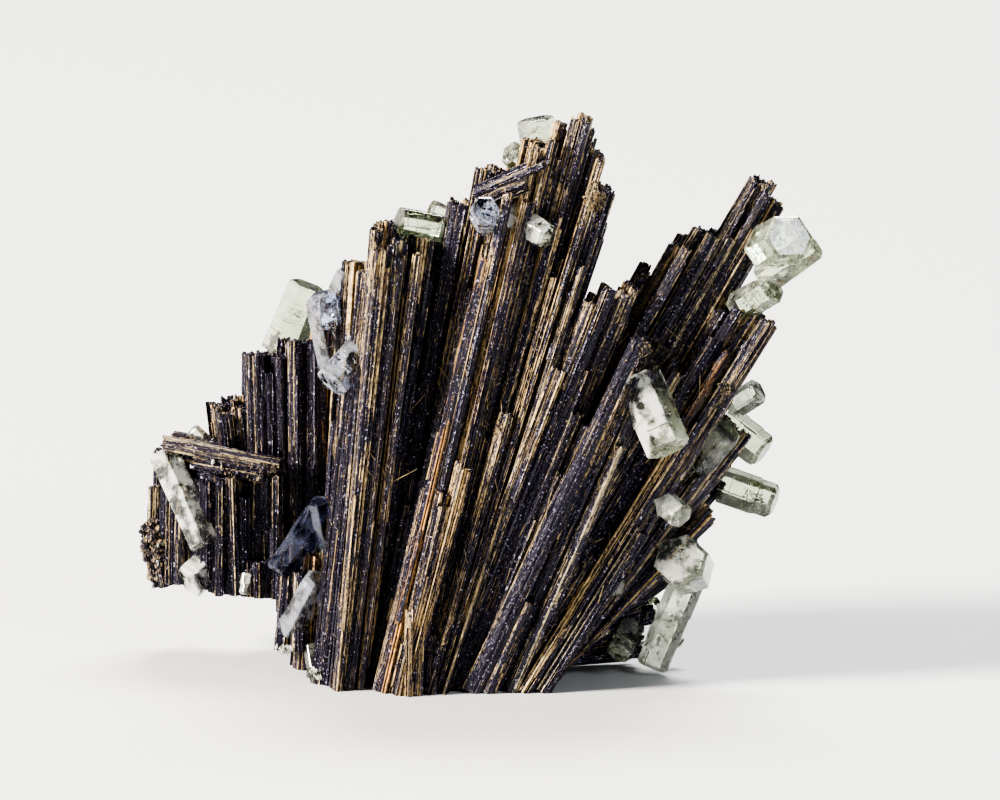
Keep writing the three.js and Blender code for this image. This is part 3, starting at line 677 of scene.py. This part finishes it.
# across, up, half width, half height, count, smallest and largest radius, gold, warmth
CRUMBS = [
    (11.6, 49.2, 1.1, 1.5, 150, 0.1, 0.3, 0.45, 0.5),
    (-33, 14, 1.3, 3.2, 110, 0.15, 0.5, 0.4, 0.5),
    (-4, 4, 1.3, 1.4, 60, 0.12, 0.35, 0.1, 0.6),
    (17.2, 34, 1.5, 1.6, 120, 0.1, 0.28, 0.5, 0.25),
    (21.8, 38, 2.6, 4.6, 240, 0.07, 0.22, 0.35, 0.2),
    (24.3, 30.1, 1, 0.9, 50, 0.12, 0.35, 0.35, 0.3),
    (24.6, 19.4, 0.8, 1.8, 70, 0.12, 0.32, 0.3, 0.4),
    (-6.7, 18.6, 0.5, 0.5, 14, 0.12, 0.3, 0.5, 0.7),
    (1.6, 27.2, 0.9, 1.4, 30, 0.1, 0.3, 0.3, 0.6),
    (-23, 22, 3.6, 0.9, 90, 0.1, 0.3, 0.2, 0.4),
    (19, 6.5, 3, 3, 60, 0.1, 0.3, -0.1, 0.4),
    (0, 22, 18, 21, 500, 0.05, 0.15, 0.5, 0.6),
    (16, 25, 9, 16, 300, 0.05, 0.15, 0.45, 0.35),
]
# across, up, length, turn to the right in degrees
NEEDLES = [
    (21.9, 29.8, 2, 2), (14.4, 34.4, 2.4, 75), (15.8, 33.2, 1.6, 60), (20.4, 31.6, 2.2, 100),
    (8.6, 43.2, 1.8, 20),
    (5.4, 44.6, 2.6, 15), (-8.6, 21, 3, 60), (-6.8, 28, 2.4, 40), (18.6, 36.4, 2, 130), (24.2, 38.6, 1.8, 95),
    (-3.6, 5.4, 1.8, 30), (-24.6, 30, 6.5, 84), (2.6, 31, 1.6, -30), (11.2, 20, 2.2, 70), (20, 16.8, 1.8, 110),
]
LOOSE_NEEDLES = 70
CLEAR_OF_GROUND = 0.3  # how high a needle stays above the ground, in mm

front = BVHTree.FromPolygons(np.concatenate(front_points).tolist(), front_faces)


def land(across, up):
    """Where the line of a spot in the front elevation first meets the spray, and which way it faces there."""
    near, far = placed(across, up, -30), placed(across, up, 60)
    spot, normal, _, _ = front.ray_cast(Vector(near), Vector(far - near).normalized())
    return (None, None) if spot is None else (np.array(spot), np.array(normal))


def needle(growth, across, up, length, turn):
    """A golden needle about 0.1 mm thick that stands on the surface and leans out to the front."""
    start, _ = land(across, up)
    if start is None:
        return
    lean = np.array([math.sin(turn), -dice.uniform(0.05, 0.3), math.cos(turn)])
    stop = start + lean * length
    if min(start[2], stop[2]) < CLEAR_OF_GROUND:
        return
    girth = dice.uniform(0.07, 0.12)
    hexagon = np.stack([np.cos(np.arange(6) * math.pi / 3), np.sin(np.arange(6) * math.pi / 3)], 1) / 2
    low, high = (girth, girth), (girth * 0.8, girth * 0.8)
    rod = Rod(start - lean * 0.1, stop, (0.3, -1, 0.2), low, high, hexagon, 0.7, 0.5)
    rod.strip(growth, hexagon, 1, 0.7, steps=1)


def scatter(growth, patches):
    """Crumbs over oval patches of the front, most of them small, each sunk in the surface that it sits on."""
    for across, up, half_width, half_height, count, smallest, largest, gold, warmth in patches:
        for _ in range(count):
            reach, turn = math.sqrt(dice.random()), dice.uniform(0, 2 * math.pi)
            aside, above = half_width * reach * math.cos(turn), half_height * reach * math.sin(turn)
            spot, normal = land(across + aside, up + above)
            if spot is not None:
                size = mix(smallest, largest, dice.random() ** 2)
                growth.crumb(spot + normal * size * 0.2, size, gold, warmth)


crumbs = Growth()
scatter(crumbs, CRUMBS)
for across, up, length, turn in NEEDLES:
    needle(crumbs, across, up, length, math.radians(turn))
for _ in range(LOOSE_NEEDLES):
    # Each leans roughly as the fan does where it stands.
    across = dice.uniform(-14, 24)
    needle(crumbs, across, dice.uniform(3, 36), dice.uniform(0.6, 2), across / 35 + dice.normal(0, 0.5))
crumbs.piece("schorl_crumbs", schorl)


# ---- Beryl ----
# Six-sided prisms of colourless to pale green beryl that grew last, on and between the schorl. Their faces are
# partly etched, and old cracks inside them are healed with white veils.

# name, root and tip as (across, up, depth), distance of an edge from the axis, roll in degrees, bevel, cloud
BERYLS = [
    ("summit", (6.8, 50.5, 9.5), (5.7, 57.1, 9.5), 2.1, 8, 0.2, 0.5),
    ("summit", (5.6, 51.6, 9), (3.2, 53.7, 6.5), 1.5, 20, 0.3, 0.8),
    ("end_on", (0.9, 46.9, 4), (0.7, 47.8, -0.3), 1.75, 0, 0.25, 0.5),
    ("bright", (3.5, 47.5, 4.4), (7, 45.2, 1.2), 1.6, 12, 0.3, 0.6),
    ("shoulder", (-3.6, 46, 9), (-8, 46.8, 7.5), 1.8, 5, 0.25, 0.6),
    ("shoulder_back", (-2, 47, 12), (-4.8, 48.4, 13), 1.1, 15, 0.15, 0.5),
    ("left_tall", (-14.4, 38, 18), (-12.9, 42.2, 17), 1.6, 10, 0.3, 0.5),
    ("left_tall", (-14.2, 32.8, 17.6), (-15.6, 39.8, 16.6), 2, 14, 0.5, 0.6),
    ("left_large", (-20, 34, 26.5), (-17.2, 40.8, 26), 2.3, 0, 0.2, 0.4),
    ("left_front", (-11, 34.8, 6), (-14.6, 30.8, 3.2), 2.1, 10, 0.3, 0.7),
    ("left_blade", (-31.8, 24, 20.4), (-27.4, 14.5, 17.4), 1.9, 30, 0.3, 0.8),
    ("left_low", (-26.2, 13.4, 20.6), (-29.2, 10.8, 18), 2.1, 8, 0.2, 0.7),
    ("left_grey", (-30.6, 11.6, 21.4), (-30.2, 16.6, 20), 1.2, 8, 0.2, 0.3),
    ("left_top", (-26.8, 24.2, 21.5), (-29, 26.2, 21.4), 1, 0, 0.2, 0.5),
    ("left_drop", (-23.2, 11.6, 16.2), (-23.5, 9.6, 15.4), 0.9, 0, 0.2, 0.5),
    ("shadow_low", (-18.6, 6.2, 9.4), (-15.8, 11.4, 6.4), 1.8, 10, 0.4, 0.5),
    ("shadow", (-14.8, 13.8, 10.6), (-15.9, 19.4, 9.8), 1.5, 25, 0.4, 0.3),
    ("shadow", (-15.8, 17.8, 11.2), (-20, 11.8, 9.2), 1.7, 0, 0.3, 0.3),
    ("base_left", (-16.6, 4.6, 8.4), (-16.2, 2.2, 7), 1, 0, 0.15, 0.8),
    ("upper_right", (28.8, 44.2, 6.5), (30.7, 45.2, 1.5), 2.75, 6, 0.3, 0.7),
    ("upper_right", (28.2, 41, 4.6), (33.2, 44.6, 3.4), 1.75, 18, 0.2, 0.6),
    ("upper_right", (25.8, 38.4, 6), (29.2, 40.2, 2.8), 1.7, 10, 0.2, 0.8),
    ("front", (15.9, 31.2, 1), (18.8, 24.3, -2.6), 2.5, 14, 0.15, 1),
    ("right_small", (25.4, 28.6, 9), (28, 30.2, 7.6), 1.5, 10, 0.35, 0.9),
    ("right_middle", (24.6, 27, 12), (28.6, 24, 10.4), 2.1, 12, 0.35, 0.7),
    ("right_prism", (24.5, 20.8, 12.4), (29.7, 19, 11), 2.1, 4, 0.4, 0.7),
    ("right_inner", (20.2, 21.2, 7), (24.6, 26.2, 2.8), 1.9, 14, 0.2, 0.5),
    ("low_inner", (16.8, 20.4, 4.6), (20.2, 17.6, 0.8), 1.5, 20, 0.2, 0.8),
    ("low_speck", (14.6, 16.2, 5.6), (15.2, 16.2, 2.2), 0.9, 0, 0.2, 1),
    ("foot", (20.9, 12.2, 10), (20.1, 13.5, 2.4), 2.9, 16, 0.35, 0.9),
    ("foot", (21, 11.2, 10.4), (17.3, 2.4, 9.4), 1.8, 6, 0.3, 0.9),
    ("low_wedge", (12.8, 11.6, 6.6), (13.6, 10.8, 2.6), 1.4, 10, 0.2, 0.3),
    ("foot_side", (15.4, 6.6, 9.8), (14, 3.7, 7), 1.5, 12, 0.3, 0.9),
    ("foot_back", (17.2, 8.9, 13.2), (20.2, 4.5, 13.8), 1, 0, 0.2, 0.7),
]
HEXAGON_AREA = 2.6  # of a hexagon with one unit from its middle to a corner
EDGE = 0.07  # width of the narrow chamfer where two faces meet
GROWTH_STEPS = 4  # along each prism, every one on about a third of its faces
STEP_DEPTH = (0.02, 0.12)  # in mm
STEP_RUN = 0.02  # half of what a step takes along the prism, in mm
VEIL_FLAKES = 4  # white flakes in each cubic mm of a fully cloudy crystal
FLAKE = (0.06, 0.3)  # smallest and largest radius of a flake, in mm
FLAKE_HALF = 0.012  # half the thickness of a flake at its middle


class Prism:
    """A beryl prism's own frame: out along its axis, with sideways and backward across it."""

    def __init__(self, root, tip):
        self.root = placed(*root)
        tip = placed(*tip)
        self.length = float(np.linalg.norm(tip - self.root))
        self.axis = (tip - self.root) / self.length
        across = np.array([0.0, 1.0, 0.0]) if abs(self.axis[0]) > 0.8 else np.array([1.0, 0.0, 0.0])
        self.back = np.cross(self.axis, across)
        self.back /= np.linalg.norm(self.back)
        self.side = np.cross(self.back, self.axis)

    def at(self, x, y, along):
        return self.root + np.outer(x, self.side) + np.outer(y, self.back) + np.outer(along, self.axis)


def beryl_rings(prism, radius, roll, bevel):
    """Rings of a prism with uneven sides, growth steps, chamfered edges and a bevelled flat tip."""
    normals = np.radians(roll + 60 * np.arange(6)) + math.pi / 6
    apothem = radius * math.cos(math.pi / 6) * dice.uniform(0.93, 1.0, 6)
    steps = [(0.0, np.zeros(6))]
    inset = np.zeros(6)
    for station in np.sort(dice.uniform(0.1, 0.92, GROWTH_STEPS)) * prism.length:
        steps.append((station - STEP_RUN, inset.copy()))
        inset = inset + np.where(dice.random(6) < 0.35, dice.uniform(*STEP_DEPTH, 6), 0)
        steps.append((station + STEP_RUN, inset.copy()))
    steps.append((prism.length - bevel, inset.copy()))
    steps.append((prism.length - 0.03, inset + bevel * 0.85))
    steps.append((prism.length, inset + bevel * 0.85 + EDGE))
    rings = []
    for station, cut in steps:
        reach = apothem - cut
        corners = []
        for k in range(6):
            a, b = normals[k], normals[(k + 1) % 6]
            rows = np.array([[math.cos(a), math.sin(a)], [math.cos(b), math.sin(b)]])
            corners.append(np.linalg.solve(rows, [reach[k], reach[(k + 1) % 6]]))
        corners = np.array(corners)
        before, after = np.roll(corners, 1, axis=0), np.roll(corners, -1, axis=0)
        outline = np.empty((12, 2))
        for spot, neighbour in ((0, before), (1, after)):
            pull = neighbour - corners
            outline[spot::2] = corners + pull / np.linalg.norm(pull, axis=1, keepdims=True) * EDGE
        rings.append(prism.at(outline[:, 0], outline[:, 1], np.full(12, station)))
    return rings, apothem.min()


def veil(prism, reach, count):
    """Flat white flakes along a few curved cracks inside the crystal: closed, five-cornered, very thin."""
    points, faces = [], []
    cracks = max(2, count // 40)
    for _ in range(cracks):
        middle = prism.at([dice.uniform(-0.5, 0.5) * reach], [dice.uniform(-0.5, 0.5) * reach],
                          [dice.uniform(0.15, 0.93) * prism.length])[0]
        lean = dice.normal(0, 1, 3) * (0.18 if dice.random() < 0.7 else 1.2)
        normal = prism.axis + lean
        normal /= np.linalg.norm(normal)
        one = np.cross(normal, dice.normal(0, 1, 3))
        one /= np.linalg.norm(one)
        two = np.cross(normal, one)
        spread = reach * dice.uniform(0.5, 1.1)
        for _ in range(count // cracks):
            u, v = dice.normal(0, 0.5, 2) * spread
            spot = middle + one * u + two * v + normal * (0.15 * math.sin(2 * u) + dice.normal(0, 0.03))
            # Only flakes well inside the prism are kept.
            local = spot - prism.root
            along = local @ prism.axis
            flat = math.hypot(local @ prism.side, local @ prism.back)
            if flat > reach * 0.9 or not 0.1 < along < prism.length - 0.12:
                continue
            size = dice.uniform(*FLAKE)
            turns = np.sort(dice.uniform(0, 2 * math.pi, 5))
            rim = spot + np.outer(np.cos(turns) * size, one) + np.outer(np.sin(turns) * size, two)
            first = len(points)
            points += [spot + normal * FLAKE_HALF, spot - normal * FLAKE_HALF, *rim]
            for k in range(5):
                a, b = first + 2 + k, first + 2 + (k + 1) % 5
                faces += [(first, a, b), (first + 1, b, a)]
    return points, faces


def beryl_finish(name, tint, absorption, density, clearness):
    """Clear beryl, etching in patches, painted light on its lamp side: tint, colour and density in depth,
    clearness of both.
    """
    made = Finish(name, {"IOR": 1.575, "Base Color": (*tint, 1)})
    place = made.place()
    # Faces towards the key lamp, up and to the left, come out cloudier and whiter: painted light on top of the
    # etching.
    etching_and_lamp_side = made.add(made.noise(place, 520, 6), made.facing((-0.09, -0.04, 0.06)))
    made.feed(made.shader.inputs["Roughness"], made.between(etching_and_lamp_side, 0.5, 0.62, 0.02, 0.14))
    made.feed(made.shader.inputs["Transmission Weight"], made.between(etching_and_lamp_side, 0.46, 0.64, *clearness))
    made.relief(made.noise(place, 800, 2), 0.2, 0.1)
    volume = made.nodes.new("ShaderNodeVolumeAbsorption")
    volume.inputs["Color"].default_value = (*absorption, 1)
    volume.inputs["Density"].default_value = density
    made.links.new(volume.outputs[0], made.nodes["Material Output"].inputs["Volume"])
    return made.material


def veil_finish():
    """The white flakes of a healed crack, with darker grey specks of painted shade where a crack looks dark."""
    made = Finish("healed_crack_and_shade", {"Roughness": 0.15})
    shades = made.nodes.new("ShaderNodeValToRGB")
    # The grey stop is painted shade, the dark look of a crack in clear crystal; the white stop is the veil.
    stops = ((0.42, (0.3, 0.31, 0.26, 1)), (0.54, (0.96, 0.96, 0.92, 1)))
    for element, (position, colour) in zip(shades.color_ramp.elements, stops):
        element.position, element.color = position, colour
    made.links.new(made.noise(made.place(), 900, 2, 0.5), shades.inputs["Fac"])
    made.links.new(shades.outputs["Color"], made.shader.inputs["Base Color"])
    return made.material


# Tint, colour in depth, its density in the metre, and how clear the smooth and the etched faces are.
clear = beryl_finish("clear_beryl", (0.9, 0.92, 0.85), (0.7, 0.76, 0.58), 320, (1.0, 0.88))
milky = beryl_finish("milky_beryl", (0.96, 0.97, 0.9), (0.7, 0.77, 0.6), 180, (0.98, 0.5))
bluish = beryl_finish("bluish_beryl", (0.78, 0.82, 0.93), (0.5, 0.56, 0.78), 200, (1.0, 0.8))
# The dusky beryl's dark blue tint and dense colour are partly its own, partly painted shade of the hollow it
# sits in.
shaded_dusky = beryl_finish("dusky_beryl", (0.3, 0.34, 0.5), (0.34, 0.4, 0.7), 380, (1.0, 0.9))
FINISHES = {"end_on": bluish, "left_tall": bluish, "left_front": bluish, "shadow_low": bluish, "shadow": shaded_dusky}
for name in ("front", "bright", "left_blade", "left_low", "left_drop", "low_speck", "low_inner", "foot",
             "right_small"):
    FINISHES[name] = milky
white = veil_finish()
for name in dict.fromkeys(crystal[0] for crystal in BERYLS):
    points, faces, white_faces = [], [], []
    for crystal in BERYLS:
        if crystal[0] != name:
            continue
        root, tip, radius, roll, bevel, cloud = crystal[1:]
        prism = Prism(root, tip)
        rings, reach = beryl_rings(prism, radius, roll, bevel)
        first = len(points)
        for r in range(len(rings) - 1):
            for k in range(12):
                a, b = first + r * 12 + k, first + r * 12 + (k + 1) % 12
                faces.append((a, b, b + 12, a + 12))
        faces.append(tuple(first + k for k in reversed(range(12))))
        faces.append(tuple(first + (len(rings) - 1) * 12 + k for k in range(12)))
        points += list(np.concatenate(rings))
        first = len(points)
        volume = HEXAGON_AREA * radius * radius * prism.length
        veil_points, veil_faces = veil(prism, reach, int(VEIL_FLAKES * cloud * volume))
        points += veil_points
        white_faces += [tuple(first + corner for corner in face) for face in veil_faces]
    mesh = bpy.data.meshes.new(name + "_beryl")
    mesh.from_pydata((np.array(points) * MM).tolist(), [], faces + white_faces)
    mesh.materials.append(FINISHES.get(name, clear))
    mesh.materials.append(white)
    mesh.polygons.foreach_set("material_index", [0] * len(faces) + [1] * len(white_faces))
    piece = bpy.data.objects.new(name + "_beryl", mesh)
    bpy.context.scene.collection.objects.link(piece)
    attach(piece, "root")
    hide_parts("beryl_" + name)


# ---- Pale grains ----
# Small rounded grains of milky beryl that settled last, in the hollows along the foot and the left edge.

# across, up, half width, half height, count, smallest and largest radius
PALE_GRAINS = [
    (-19.4, 4.2, 0.9, 0.6, 24, 0.2, 0.5), (-16.3, 1.8, 1, 0.7, 26, 0.2, 0.5),
    (-26.6, 22.9, 0.1, 0.1, 2, 0.35, 0.5),
    (-33.2, 13, 1, 2.6, 22, 0.15, 0.4), (15.6, 5, 0.8, 0.7, 16, 0.2, 0.5),
]
grains = Growth()
scatter(grains, [(*patch, 0, 0) for patch in PALE_GRAINS])
grains.piece("pale_grains", milky, "beryl")


# ---- Floor, light and camera ----
# A pale card under the specimen, a warm lamp from the left that picks out the ridges, a weak cool one from the
# right, a broad one from behind and above for the clear crystals, and a camera that looks down a little.

floor_mesh = bpy.data.meshes.new("floor")
floor_mesh.from_pydata([(-2, -2, 0), (2, -2, 0), (2, 2, 0), (-2, 2, 0)], [], [(0, 1, 2, 3)])
floor = bpy.data.objects.new("floor", floor_mesh)
bpy.context.scene.collection.objects.link(floor)
card = Finish("floor_card", {"Base Color": (0.72, 0.72, 0.71, 1), "Roughness": 0.6})
floor_mesh.materials.append(card.material)

world = bpy.data.worlds.new("studio")
world.use_nodes = True
world.node_tree.nodes["Background"].inputs["Color"].default_value = (0.85, 0.87, 0.9, 1)
world.node_tree.nodes["Background"].inputs["Strength"].default_value = 0.14
bpy.context.scene.world = world

LIT_POINT = Vector((0, 0, 0.03))


def lamp(name, place, size, power, colour):
    light = bpy.data.lights.new(name, "AREA")
    light.shape = "RECTANGLE"
    light.size, light.size_y = size
    light.energy = power
    light.color = colour
    made = bpy.data.objects.new(name, light)
    made.location = place
    made.rotation_euler = (LIT_POINT - Vector(place)).to_track_quat("-Z", "Y").to_euler()
    bpy.context.scene.collection.objects.link(made)


lamp("key_left", (-1.5, -0.5, 0.8), (0.45, 0.45), 110, (1.0, 0.94, 0.85))
lamp("fill_right", (1.2, -1.4, 0.9), (0.6, 0.6), 14, (0.86, 0.92, 1.0))
lamp("top_back", (0.3, 1, 1.6), (1.2, 0.6), 48, (1.0, 1.0, 1.0))

AIM = Vector((2.39, 0, 27.41)) * MM
AWAY = 0.9
VIEW_WIDTH = 0.1  # how much of the plane through the aim fills the picture from side to side
SENSOR = 36  # mm
camera_data = bpy.data.cameras.new("camera")
camera_data.sensor_width = SENSOR
camera_data.lens = SENSOR * AWAY / VIEW_WIDTH
camera_data.clip_start = 0.01
camera = bpy.data.objects.new("camera", camera_data)
camera.location = AIM + Vector((0, -math.cos(LOOK_DOWN), math.sin(LOOK_DOWN))) * AWAY
camera.rotation_euler = (AIM - camera.location).to_track_quat("-Z", "Y").to_euler()
bpy.context.scene.collection.objects.link(camera)
bpy.context.scene.camera = camera
bpy.context.scene.view_settings.look = "AgX - High Contrast"
